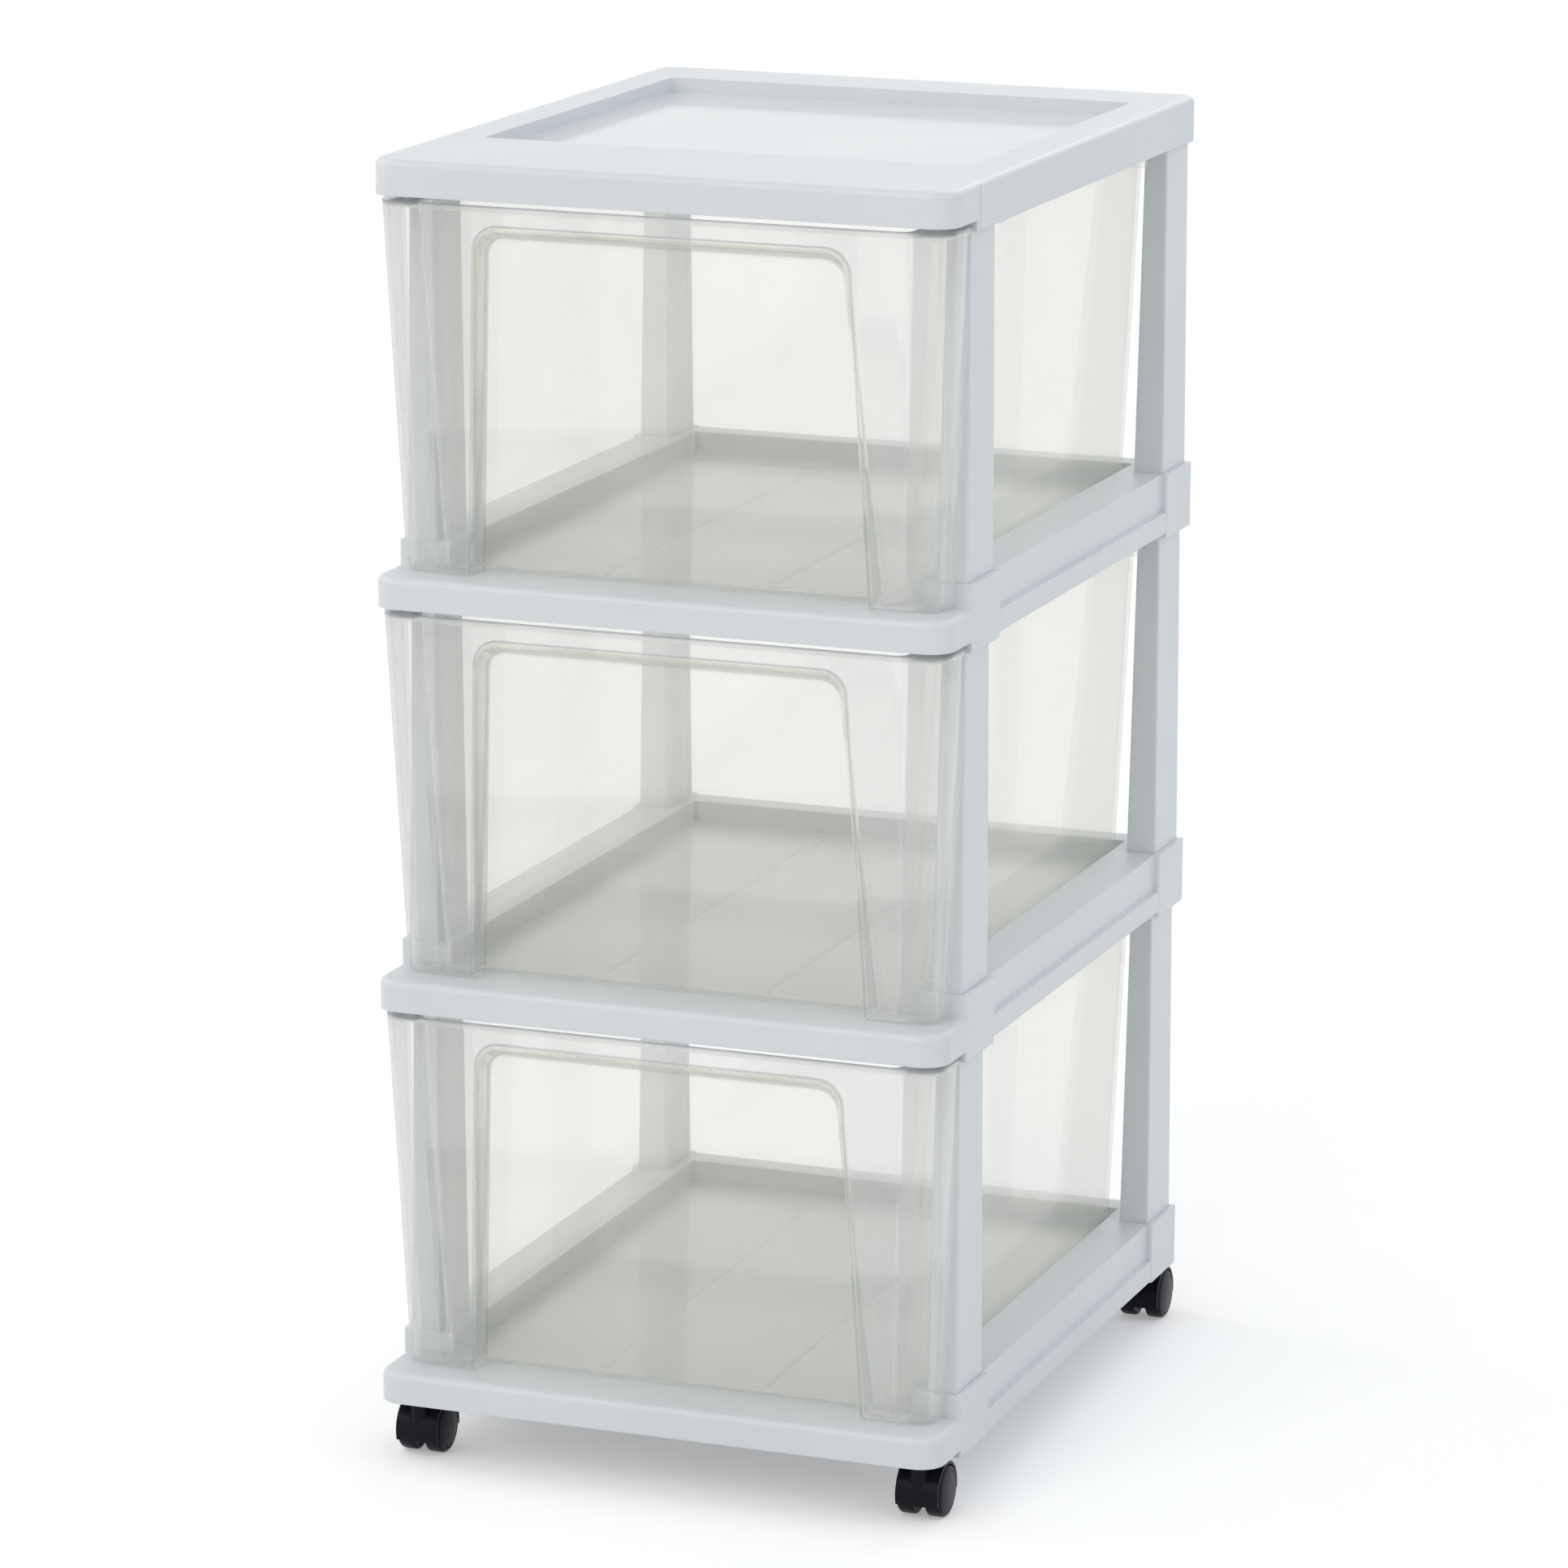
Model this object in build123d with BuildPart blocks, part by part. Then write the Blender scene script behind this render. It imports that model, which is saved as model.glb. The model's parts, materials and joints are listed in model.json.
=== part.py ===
"""Rolling drawer cart: four white frames on twelve posts, three clear drawers and four twin-wheel casters.

Millimetres, +Z up, origin on the floor under the middle of the cart. The drawers open towards -Y.
"""
import os
from math import cos, radians, sin

from build123d import *

# Overall size of the frames
width = 297.0
depth = 388.0
tier_pitch = 202.3
tiers = 3
front_corner_radius = 13.0
rear_corner_radius = 10.0
wall = 2.5
edge_round = 3.5
under_round = 0.8
upright_round = 1.2

# Front lip of the base and the shelves
lip_height = 15.7
lip_depth = 36.5

# Top cover and the tray sunk into it
cover_height = 17.6
skirt_drop = 5.4
tray_side_rim = 22.5
tray_front_rim = 90.0
tray_rear_rim = 45.0
tray_depth = 7.4
tray_corner_radius = 4.0
cover_rib_lift = 1.5

# Corner collars that hold the posts, and the rails between them
collar_rise = 27.6
collar_drop = 5.7
collar_length = 42.0
collar_wall = 2.0
collar_side_wall = 2.5
rail_inset = 3.0
rail_step = 5.0
rear_rail_width = 15.0
bead_height = 11.0
bead_lift = 2.6
bead_inset = 0.3
rib_width = 2.0
rib_drop = 8.0
rib_spacing = 90.0

# Posts: a tapered box section with a straight plug at each end
post_inset = 3.0
post_foot_width = 16.0
post_head_width = 12.0
post_lean = 1.5
post_head_shrink = 2.0
post_wall = 2.0
plug_low = 14.0
plug_high = 12.0
plug_clearance = 0.15

# Drawers: a tapered box whose front wraps the front posts
drawer_floor_gap = 0.3
drawer_head_gap = 2.7
drawer_side_gap = 0.8
drawer_foot_gap = 1.5
drawer_rear_gap = 8.0
drawer_rear_lean = 4.0
drawer_wall = 2.0
front_gap = 1.0
front_high_inset = 2.2
front_high_set = 3.0
front_high_radius = 12.0
front_low_inset = 8.5
front_low_set = 18.0
front_low_radius = 10.0
front_low_round = 3.0
box_corner = 8.0
rim_height = 3.0
rim_width = 1.4
runner_spread = 43.0
runner_width = 2.5
runner_height = 1.5
runner_margin = 12.0
stop_gap = 3.0
stop_length = 7.0
stop_overlap = 5.5
stop_height = 12.0

# Grip recess in the drawer front: an arch that deepens towards the bottom
recess_head = 9.7
pillar_high = 32.3
pillar_low = 17.0
recess_radius = 12.0
panel_head = 15.5
panel_high_inset = 5.0
panel_low_inset = 0.7
panel_radius = 9.0
panel_high_set = 8.0
panel_low_set = 33.0
recess_foot = 20.0

# Casters
wheel_radius = 13.0
wheel_width = 9.3
wheel_round = 2.6
wheel_inner_round = 1.0
wheel_dish = 0.8
wheel_gap = 0.3
hood_web = 6.0
hood_shell = 1.4
hood_gap = 0.4
hood_side_inset = 1.6
hood_front_angle = 20.0
hood_rear_angle = 10.0
web_drop = 5.0
head_diameter = 9.0
base_clearance = 0.6
base_collar_trim = 1.6
caster_trail = 10.0
caster_inset = 20.0
front_caster_side = 15.5
rear_caster_side = 12.9
axle_diameter = 3.0
axle_cover = 2.0
axle_end_gap = 0.3
running_fit = 0.05
stem_diameter = 7.0
stem_length = 12.0
stem_chamfer = 0.8
stem_flange_diameter = 9.0
stem_flange = 0.8
stem_seat_gap = 0.3
pivot_diameter = 3.2
pivot_floor = 1.5
boss_diameter = 14.0

# Cutters and edge pickers run this far past the face they work on
overcut = 2.0
pick_margin = 1.0

# Heights worked out from the sizes above
hood_radius = wheel_radius + hood_gap + hood_shell
hood_top = wheel_radius + hood_radius
socket_face = hood_top + base_clearance
base_lip = socket_face + collar_drop - base_collar_trim
lip_levels = [base_lip + level * tier_pitch for level in range(tiers + 1)]
cover_level = lip_levels[tiers]
pivot_tip = wheel_radius - web_drop + pivot_floor

# Half-widths worked out from the sizes above
half_width = width / 2
rail_outer = half_width - rail_inset
post_low_outer = half_width - post_inset
post_low_inner = post_low_outer - post_foot_width
post_high_outer = post_low_outer - post_lean
post_high_inner = post_high_outer - post_head_width
collar_inner = post_low_inner - collar_side_wall
low_collar_inner = post_high_inner - collar_wall
rail_inner = collar_inner - rail_step
front_high_half = half_width - front_high_inset
front_low_half = half_width - front_low_inset
box_high_half = low_collar_inner - drawer_side_gap - rim_width
box_low_half = rail_inner - drawer_foot_gap
stop_reach = low_collar_inner + stop_overlap
recess_high_half = box_high_half - pillar_high
recess_low_half = box_low_half - pillar_low
panel_high_half = recess_high_half - panel_high_inset
panel_low_half = recess_low_half - panel_low_inset
tray_half_width = half_width - tray_side_rim

# Distances behind the front face of the lips
post_low_length = collar_length - 2 * collar_wall
post_high_length = post_low_length - post_head_shrink
front_back = lip_depth - front_gap
rear_face = depth - rail_inset
rear_rail_inner = rear_face - rear_rail_width
box_low_rear = rear_rail_inner - drawer_rear_gap
box_high_rear = box_low_rear + drawer_rear_lean
stop_front = depth - collar_length - stop_gap - stop_length
tray_rear = depth - tray_rear_rim
post_centres = {"front": lip_depth + collar_length / 2, "rear": depth - collar_length / 2}
caster_places = {"front": caster_inset, "rear": depth - caster_inset}
caster_tracks = {"front": half_width - front_caster_side, "rear": half_width - rear_caster_side}
caster_reach = caster_places["rear"] + caster_trail + hood_radius
middle = max(depth, caster_reach) / 2
sides = {"left": -1, "right": 1}
standing = (Align.CENTER, Align.CENTER, Align.MIN)


def at(distance):
    """Y of a place that lies this far behind the front face of the lips."""
    return distance - middle


def slab(x, y, z, mode=Mode.ADD):
    """A block in the open part, from pairs of x, distances behind the front face, and heights."""
    with Locations(((x[0] + x[1]) / 2, at((y[0] + y[1]) / 2), (z[0] + z[1]) / 2)):
        Box(abs(x[1] - x[0]), y[1] - y[0], z[1] - z[0], mode=mode)


def block(x, y, z):
    """A slab with rounded upright edges."""
    with BuildSketch(Plane.XY.offset(z[0])) as outline:
        with Locations(((x[0] + x[1]) / 2, at((y[0] + y[1]) / 2))):
            RectangleRounded(abs(x[1] - x[0]), y[1] - y[0], upright_round)
    extrude(outline.sketch, amount=z[1] - z[0])


def plan(height, half, front, rear, front_radius, rear_radius):
    """A rounded rectangle seen from above, at a height."""
    with BuildSketch(Plane.XY.offset(height)) as outline:
        with Locations((0, at((front + rear) / 2))):
            Rectangle(2 * half, rear - front)
        fillet(outline.vertices().group_by(Axis.Y)[0], front_radius)
        fillet(outline.vertices().group_by(Axis.Y)[-1], rear_radius)
    return outline.sketch


def save(part, label):
    """Label a finished piece and write it to its own file."""
    part.label = label
    export_step(part, f"parts/{label}.step")


def post_socket(side, centre, outer, inner, length, z):
    """Cut the pocket that a post's plug fits into."""
    x = (side * (inner - plug_clearance), side * (outer + plug_clearance))
    y = (centre - length / 2 - plug_clearance, centre + length / 2 + plug_clearance)
    slab(x, y, z, Mode.SUBTRACT)


def make_cover():
    """Top cover: a skirted lid with a sunk tray and four post sockets underneath."""
    top = cover_level + cover_height
    low = cover_level - skirt_drop
    roof = top - tray_depth - wall
    rims = (((wall, tray_front_rim - wall), front_corner_radius - wall, under_round),
            ((tray_rear + wall, depth - wall), under_round, rear_corner_radius - wall))
    with BuildPart() as collars:
        for side in sides.values():
            for centre in post_centres.values():
                block((side * low_collar_inner, side * half_width),
                      (centre - collar_length / 2, centre + collar_length / 2), (low, top - tray_depth))
        extrude(plan(low, half_width, 0, depth, front_corner_radius, rear_corner_radius),
                amount=top - low, mode=Mode.INTERSECT)
    with BuildPart() as cover:
        extrude(plan(cover_level, half_width, 0, depth, front_corner_radius, rear_corner_radius),
                amount=cover_height)
        extrude(plan(low, half_width, lip_depth, depth, upright_round, rear_corner_radius),
                amount=skirt_drop)
        fillet(cover.edges().group_by(Axis.Z)[-1], edge_round)
        extrude(plan(top, tray_half_width, tray_front_rim, tray_rear, tray_corner_radius,
                     tray_corner_radius), amount=-tray_depth, mode=Mode.SUBTRACT)
        tray_floor = cover.faces().filter_by(Axis.Z).sort_by(SortBy.AREA)[-1]
        fillet(tray_floor.edges(), under_round)
        extrude(plan(low, half_width - wall, wall, depth - wall, front_corner_radius - wall,
                     rear_corner_radius - wall), amount=roof - low, mode=Mode.SUBTRACT)
        for rim, front_radius, rear_radius in rims:
            extrude(plan(roof, half_width - 2 * wall, *rim, front_radius, rear_radius),
                    amount=top - wall - roof, mode=Mode.SUBTRACT)
        for step in range(-1, 2):
            x = (step * rib_spacing - rib_width / 2, step * rib_spacing + rib_width / 2)
            slab(x, (wall, depth - wall), (cover_level + cover_rib_lift, roof))
            for rim, _, _ in rims:
                slab(x, rim, (cover_level + cover_rib_lift, top - wall))
        add(collars.part)
        for side in sides.values():
            for centre in post_centres.values():
                post_socket(side, centre, post_high_outer, post_high_inner, post_high_length,
                            (low, low + plug_high))
    return cover.part


def make_frame(lip, low, casters):
    """A shelf or the base: front lip, floor, rails on three sides and four corner collars."""
    lip_top = lip + lip_height
    rim = lip + collar_rise
    roof = lip_top - wall
    bead = (lip - collar_drop + bead_lift, lip - collar_drop + bead_lift + bead_height)
    with BuildPart() as frame:
        extrude(plan(lip, half_width, 0, lip_depth + collar_wall, front_corner_radius, under_round),
                amount=lip_height)
        fillet(frame.edges().group_by(Axis.Z)[-1].filter_by_position(
            Axis.Y, at(-pick_margin), at(lip_depth)), edge_round)
        slab((-rail_outer, rail_outer), (lip_depth, rear_face), (bead[0], rim))
        slab((-rail_inner, rail_inner), (lip_depth, rear_rail_inner), (lip_top, rim), Mode.SUBTRACT)
        for x in ((-half_width + bead_inset, -rail_outer), (rail_outer, half_width - bead_inset)):
            slab(x, (lip_depth + collar_length, depth - collar_length), bead)
        slab((-collar_inner, collar_inner), (rear_face, depth - bead_inset), bead)
        # The underside is open: a pocket under the lip, the floor and each rail
        extrude(plan(lip - lip_height, half_width - wall, wall, lip_depth - wall,
                     front_corner_radius - wall, under_round),
                amount=lip_height + roof - lip, mode=Mode.SUBTRACT)
        slab((-rail_inner - wall, rail_inner + wall), (lip_depth, rear_rail_inner + wall),
             (lip - lip_height, roof), Mode.SUBTRACT)
        for side in sides.values():
            slab((side * (rail_inner + wall), side * (rail_outer - wall)), (lip_depth, rear_face - wall),
                 (lip - lip_height, rim - wall), Mode.SUBTRACT)
            slab((side * rail_inner, side * rail_outer), (lip_depth, lip_depth + wall), (lip, rim))
        slab((-rail_outer + wall, rail_outer - wall), (rear_rail_inner + wall, rear_face - wall),
             (lip - lip_height, rim - wall), Mode.SUBTRACT)
        for step in range(-1, 2):
            x = (step * rib_spacing - rib_width / 2, step * rib_spacing + rib_width / 2)
            slab(x, (lip_depth - wall, rear_rail_inner + wall), (roof - rib_drop, roof))
        for side in sides.values():
            for name, centre in post_centres.items():
                y = (centre - collar_length / 2, centre + collar_length / 2)
                block((side * collar_inner, side * half_width), y, (lip, rim))
                block((side * low_collar_inner, side * half_width), y, (low, lip))
                post_socket(side, centre, post_low_outer, post_low_inner, post_low_length,
                            (rim - plug_low, rim))
                if not casters:
                    post_socket(side, centre, post_high_outer, post_high_inner, post_high_length,
                                (low, low + plug_high))
                    continue
                with Locations((side * caster_tracks[name], at(caster_places[name]), low)):
                    Cylinder(boss_diameter / 2, roof - low, align=standing)
                    Cylinder(stem_diameter / 2 + running_fit, stem_length + running_fit,
                             mode=Mode.SUBTRACT, align=standing)
    return frame.part


def post_section(side, centre, level, outer, inner, length, inset):
    """The post's outline at a height, drawn in from its faces by an inset."""
    with BuildSketch(Plane.XY.offset(level)) as section:
        with Locations((side * (inner + outer) / 2, at(centre))):
            RectangleRounded(outer - inner - 2 * inset, length - 2 * inset, upright_round)
    return section.sketch


def make_post(side, centre, lip, next_low):
    """A tapered hollow post from the collar of one frame up into the collar of the next."""
    rim = lip + collar_rise
    low = (post_low_outer, post_low_inner, post_low_length)
    high = (post_high_outer, post_high_inner, post_high_length)
    with BuildPart() as post:
        for inset, mode in ((0, Mode.ADD), (post_wall, Mode.SUBTRACT)):
            extrude(post_section(side, centre, rim - plug_low, *low, inset), amount=plug_low, mode=mode)
            loft([post_section(side, centre, rim, *low, inset),
                  post_section(side, centre, next_low, *high, inset)], ruled=True, mode=mode)
            extrude(post_section(side, centre, next_low, *high, inset), amount=plug_high, mode=mode)
    return post.part


def blend_at(low, high, share):
    """A size that runs evenly from its low value to its high one."""
    return low + (high - low) * share


def recess_arch(foot, height, lean, head, halves, radius, out):
    """An arch across the drawer front, open at its foot, on a plane that leans between two set-backs.

    lean and halves hold the low and the high value, and out moves the plane towards the front.
    """
    up = Vector(0, lean[1] - lean[0], height).normalized()
    plane = Plane(origin=(0, at(lean[0]), foot), x_dir=(1, 0, 0), z_dir=(0, -up.Z, up.Y))
    with BuildSketch(plane.offset(out)) as arch:
        with BuildLine():
            FilletPolyline((-halves[0], -recess_foot), (-halves[1], height - head),
                           (halves[1], height - head), (halves[0], -recess_foot), radius=radius)
            Line((halves[0], -recess_foot), (-halves[0], -recess_foot))
        make_face()
    return arch.sketch


def recess_block(foot, height, grow):
    """The grip recess as a solid, grown on all sides by a wall."""
    mouth = (recess_low_half + grow, recess_high_half + grow)
    panel = (panel_low_half + grow, panel_high_half + grow)
    with BuildPart() as recess:
        loft([recess_arch(foot, height, (front_low_set, front_high_set), recess_head - grow, mouth,
                          recess_radius + grow, overcut),
              recess_arch(foot, height, (panel_low_set, panel_high_set), panel_head - grow, panel,
                          panel_radius + grow, -grow)], ruled=True)
    return recess.part


def make_drawer(foot, height):
    """A clear drawer: tapered box, wrap-round front with a grip recess, rim, stops and floor runners."""
    top = foot + height
    floor = foot + runner_height

    def front_outline(level):
        """The wrap-round front seen from above, at a height above the foot."""
        share = level / height
        half = blend_at(front_low_half, front_high_half, share)
        face = blend_at(front_low_set, front_high_set, share)
        radius = blend_at(front_low_radius, front_high_radius, share)
        return half, face, radius

    with BuildPart() as cavity:
        for level in (runner_height + drawer_wall, height):
            share = level / height
            half = blend_at(box_low_half, box_high_half, share) - drawer_wall
            front = blend_at(front_low_set, front_high_set, share) + drawer_wall
            rear = blend_at(box_low_rear, box_high_rear, share) - drawer_wall
            with BuildSketch(Plane.XY.offset(foot + level)):
                with Locations((0, at((front + rear) / 2))):
                    RectangleRounded(2 * half, rear - front, box_corner - drawer_wall)
        loft(ruled=True)
        add(recess_block(foot, height, drawer_wall), mode=Mode.SUBTRACT)

    with BuildPart() as drawer:
        for level in (0, height):
            half, face, radius = front_outline(level)
            with BuildSketch(Plane.XY.offset(foot + level)) as outline:
                with Locations((0, at((face + front_back) / 2))):
                    Rectangle(2 * half, front_back - face)
                fillet(outline.vertices().group_by(Axis.Y)[0], radius)
        loft(ruled=True)
        fillet(drawer.edges().group_by(Axis.Z)[0].filter_by_position(
            Axis.Y, at(0), at(front_back - pick_margin)), front_low_round)
        # Behind each end of the front is a pocket for the post
        for side in sides.values():
            for level in (drawer_wall, height - drawer_wall):
                half, face, radius = front_outline(level)
                inner = blend_at(box_low_half, box_high_half, level / height)
                x = (side * inner, side * (half - drawer_wall))
                y = (face + drawer_wall, front_back + overcut)
                with BuildSketch(Plane.XY.offset(foot + level)) as pocket:
                    with Locations(((x[0] + x[1]) / 2, at((y[0] + y[1]) / 2))):
                        Rectangle(abs(x[1] - x[0]), y[1] - y[0])
                    corner = pocket.vertices().group_by(Axis.Y)[0].sort_by(Axis.X)[-1 if side > 0 else 0]
                    fillet(corner, radius - drawer_wall)
            loft(ruled=True, mode=Mode.SUBTRACT)
        # The box behind the front
        for level in (runner_height, height):
            share = level / height
            half = blend_at(box_low_half, box_high_half, share)
            front = blend_at(front_low_set, front_high_set, share) + drawer_wall / 2
            rear = blend_at(box_low_rear, box_high_rear, share)
            with BuildSketch(Plane.XY.offset(foot + level)):
                with Locations((0, at((front + rear) / 2))):
                    RectangleRounded(2 * half, rear - front, box_corner)
        loft(ruled=True)
        extrude(plan(top - rim_height, box_high_half + rim_width, front_back - drawer_wall,
                     box_high_rear + rim_width, under_round, box_corner + rim_width), amount=rim_height)
        for side in sides.values():
            slab((side * box_low_half, side * stop_reach), (stop_front, stop_front + stop_length),
                 (top - stop_height, top))
            slab((side * runner_spread - runner_width / 2, side * runner_spread + runner_width / 2),
                 (panel_low_set + runner_margin, box_low_rear - runner_margin), (foot, floor))
        add(cavity.part, mode=Mode.SUBTRACT)
        add(recess_block(foot, height, 0), mode=Mode.SUBTRACT)
    return drawer.part


def across(x, y, turn):
    """A plane at a wheel's axle height that faces along X, to the right for a turn of 1."""
    return Plane(origin=(x, y, wheel_radius), x_dir=(0, 1, 0), z_dir=(turn, 0, 0))


def make_stem(x, y):
    """Caster stem: plain shank in the base, a flange, and the pivot that the hood turns on."""
    with BuildPart() as stem:
        with BuildSketch(Plane.XY.offset(socket_face).move(Location((x, y, 0)))):
            Circle(stem_diameter / 2)
        extrude(amount=stem_length)
        with Locations((x, y, socket_face - stem_flange)):
            Cylinder(stem_flange_diameter / 2, stem_flange, align=standing)
        with Locations((x, y, pivot_tip)):
            Cylinder(pivot_diameter / 2, socket_face - pivot_tip, align=standing)
        chamfer(stem.edges().group_by(Axis.Z)[-1], stem_chamfer)
    return stem.part


def make_hood(x, y):
    """Caster hood: a curved cover over the wheels, a web between them and a head round the stem."""
    axle_y = y + caster_trail
    seat = socket_face - stem_flange - stem_seat_gap
    half = hood_web / 2 + wheel_gap + wheel_width - hood_side_inset
    profile = across(x, axle_y, 1)
    reach = 2 * hood_radius
    ends = [(turn * reach * cos(radians(angle)), -reach * sin(radians(angle)))
            for turn, angle in ((1, hood_rear_angle), (-1, hood_front_angle))]
    with BuildPart() as hood:
        with BuildSketch(profile):
            Circle(hood_radius)
            Circle(hood_radius - hood_shell, mode=Mode.SUBTRACT)
            with BuildLine():
                Polyline((0, 0), ends[0], (reach, -reach), (-reach, -reach), ends[1], close=True)
            make_face(mode=Mode.SUBTRACT)
        extrude(amount=half, both=True)
        with Locations((x, y, wheel_radius)):
            Cylinder(head_diameter / 2, seat - wheel_radius, align=standing)
        for turn in (-1, 1):
            near = x + turn * hood_web / 2
            with BuildSketch(across(near, axle_y, turn)):
                Circle(hood_radius - hood_shell)
            extrude(amount=half, mode=Mode.SUBTRACT)
        with BuildSketch(profile):
            Circle(hood_radius - hood_shell / 2)
            with Locations((0, -web_drop)):
                Rectangle(2 * reach, reach, align=(Align.CENTER, Align.MAX), mode=Mode.SUBTRACT)
        extrude(amount=hood_web / 2, both=True)
        with Locations((x, y, pivot_tip - axle_end_gap)):
            Cylinder(pivot_diameter / 2 + running_fit, hood_top, mode=Mode.SUBTRACT, align=standing)
        with BuildSketch(profile):
            Circle(axle_diameter / 2)
        extrude(amount=half, both=True, mode=Mode.SUBTRACT)
        with Locations((x, y, seat)):
            Cylinder(head_diameter / 2, hood_top, mode=Mode.SUBTRACT, align=standing)
    return hood.part


def make_axle(x, y):
    """Steel axle through the hood's web, ending inside both wheels."""
    half = hood_web / 2 + wheel_gap + wheel_width - axle_cover - axle_end_gap
    with BuildPart() as axle:
        with BuildSketch(across(x, y + caster_trail, 1)):
            Circle(axle_diameter / 2)
        extrude(amount=half, both=True)
        chamfer(axle.edges().filter_by(GeomType.CIRCLE), axle_end_gap)
    return axle.part


def make_wheel(x, y, turn):
    """One wheel of a twin caster, with a closed outer face and a blind bore for the axle."""
    near = hood_web / 2 + wheel_gap
    hub = across(x + turn * near, y + caster_trail, turn)
    with BuildPart() as wheel:
        with BuildSketch(hub):
            Circle(wheel_radius)
        extrude(amount=wheel_width)
        rims = wheel.edges().filter_by(GeomType.CIRCLE).sort_by(Axis.X)
        inner, outer = (rims[0], rims[-1]) if turn > 0 else (rims[-1], rims[0])
        fillet(inner, wheel_inner_round)
        fillet(outer, wheel_round)
        with BuildSketch(hub.offset(wheel_width)):
            Circle(wheel_radius - wheel_round - wheel_dish)
        extrude(amount=-wheel_dish, taper=45, mode=Mode.SUBTRACT)
        with BuildSketch(hub):
            Circle(axle_diameter / 2 + running_fit)
        extrude(amount=wheel_width - axle_cover, mode=Mode.SUBTRACT)
    return wheel.part


os.makedirs("parts", exist_ok=True)

save(make_cover(), "top_cover")
save(make_frame(lip_levels[2], lip_levels[2] - collar_drop, False), "upper_shelf")
save(make_frame(lip_levels[1], lip_levels[1] - collar_drop, False), "lower_shelf")
save(make_frame(lip_levels[0], socket_face, True), "base_frame")

for tier, tier_name in enumerate(("lower", "middle", "upper")):
    lip_level = lip_levels[tier]
    above = lip_levels[tier + 1]
    post_top = above - (skirt_drop if tier + 1 == tiers else collar_drop)
    for end_name, post_centre in post_centres.items():
        for side_name, side_sign in sides.items():
            post = make_post(side_sign, post_centre, lip_level, post_top)
            save(post, f"{tier_name}_{end_name}_{side_name}_post")
    drawer_foot = lip_level + lip_height + drawer_floor_gap
    save(make_drawer(drawer_foot, above - drawer_head_gap - drawer_foot), f"{tier_name}_drawer")

for end_name, place in caster_places.items():
    for side_name, side_sign in sides.items():
        caster = f"{end_name}_{side_name}"
        stem_x = side_sign * caster_tracks[end_name]
        stem_y = at(place)
        save(make_stem(stem_x, stem_y), f"{caster}_caster_stem")
        save(make_hood(stem_x, stem_y), f"{caster}_caster_hood")
        save(make_axle(stem_x, stem_y), f"{caster}_caster_axle")
        for wheel_name, turn in (("outer", side_sign), ("inner", -side_sign)):
            save(make_wheel(stem_x, stem_y, turn), f"{caster}_caster_{wheel_name}_wheel")
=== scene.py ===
"""Dresses the rolling drawer cart: its plastics, its caster wheels, the studio and the camera."""

import json
import logging
import math
from dataclasses import dataclass
from enum import Enum
from typing import Any, Callable, Dict, List, Mapping, Optional, Tuple, Union

import bpy
from mathutils import Matrix, Vector

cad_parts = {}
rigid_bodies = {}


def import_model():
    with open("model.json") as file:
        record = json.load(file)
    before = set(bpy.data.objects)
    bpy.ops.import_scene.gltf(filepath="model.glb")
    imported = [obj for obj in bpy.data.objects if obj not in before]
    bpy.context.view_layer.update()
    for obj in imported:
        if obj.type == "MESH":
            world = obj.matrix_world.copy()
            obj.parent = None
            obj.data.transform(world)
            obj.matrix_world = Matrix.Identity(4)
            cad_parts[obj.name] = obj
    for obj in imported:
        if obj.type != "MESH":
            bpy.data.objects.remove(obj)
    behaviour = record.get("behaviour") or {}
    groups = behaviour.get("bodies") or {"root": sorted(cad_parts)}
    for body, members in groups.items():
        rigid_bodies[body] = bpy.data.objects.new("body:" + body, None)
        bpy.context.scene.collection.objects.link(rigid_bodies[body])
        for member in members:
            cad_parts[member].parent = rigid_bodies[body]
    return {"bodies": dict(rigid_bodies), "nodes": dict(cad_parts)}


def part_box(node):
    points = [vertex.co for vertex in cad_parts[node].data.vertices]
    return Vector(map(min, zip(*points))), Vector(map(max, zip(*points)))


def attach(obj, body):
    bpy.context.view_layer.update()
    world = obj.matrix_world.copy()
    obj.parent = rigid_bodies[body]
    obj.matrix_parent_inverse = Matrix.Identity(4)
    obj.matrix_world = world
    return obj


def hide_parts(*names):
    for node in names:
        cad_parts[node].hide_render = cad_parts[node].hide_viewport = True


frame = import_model()

LOG = logging.getLogger("drawer_cart")
Colour = Tuple[float, float, float, float]
Point = Tuple[float, float, float]
NOISE_MEAN = 0.5
PLASTIC_IOR = 1.49
FRONT_FACE = -0.1964
DRAWER_FEET = {"lower": 0.0485, "middle": 0.2508, "upper": 0.4531}


class Side(Enum):
    """Which side of the cart a piece is on, with the sign of its X."""

    LEFT = -1
    RIGHT = 1


class End(Enum):
    """Which end of the cart a piece is at."""

    FRONT = "front"
    REAR = "rear"


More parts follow.
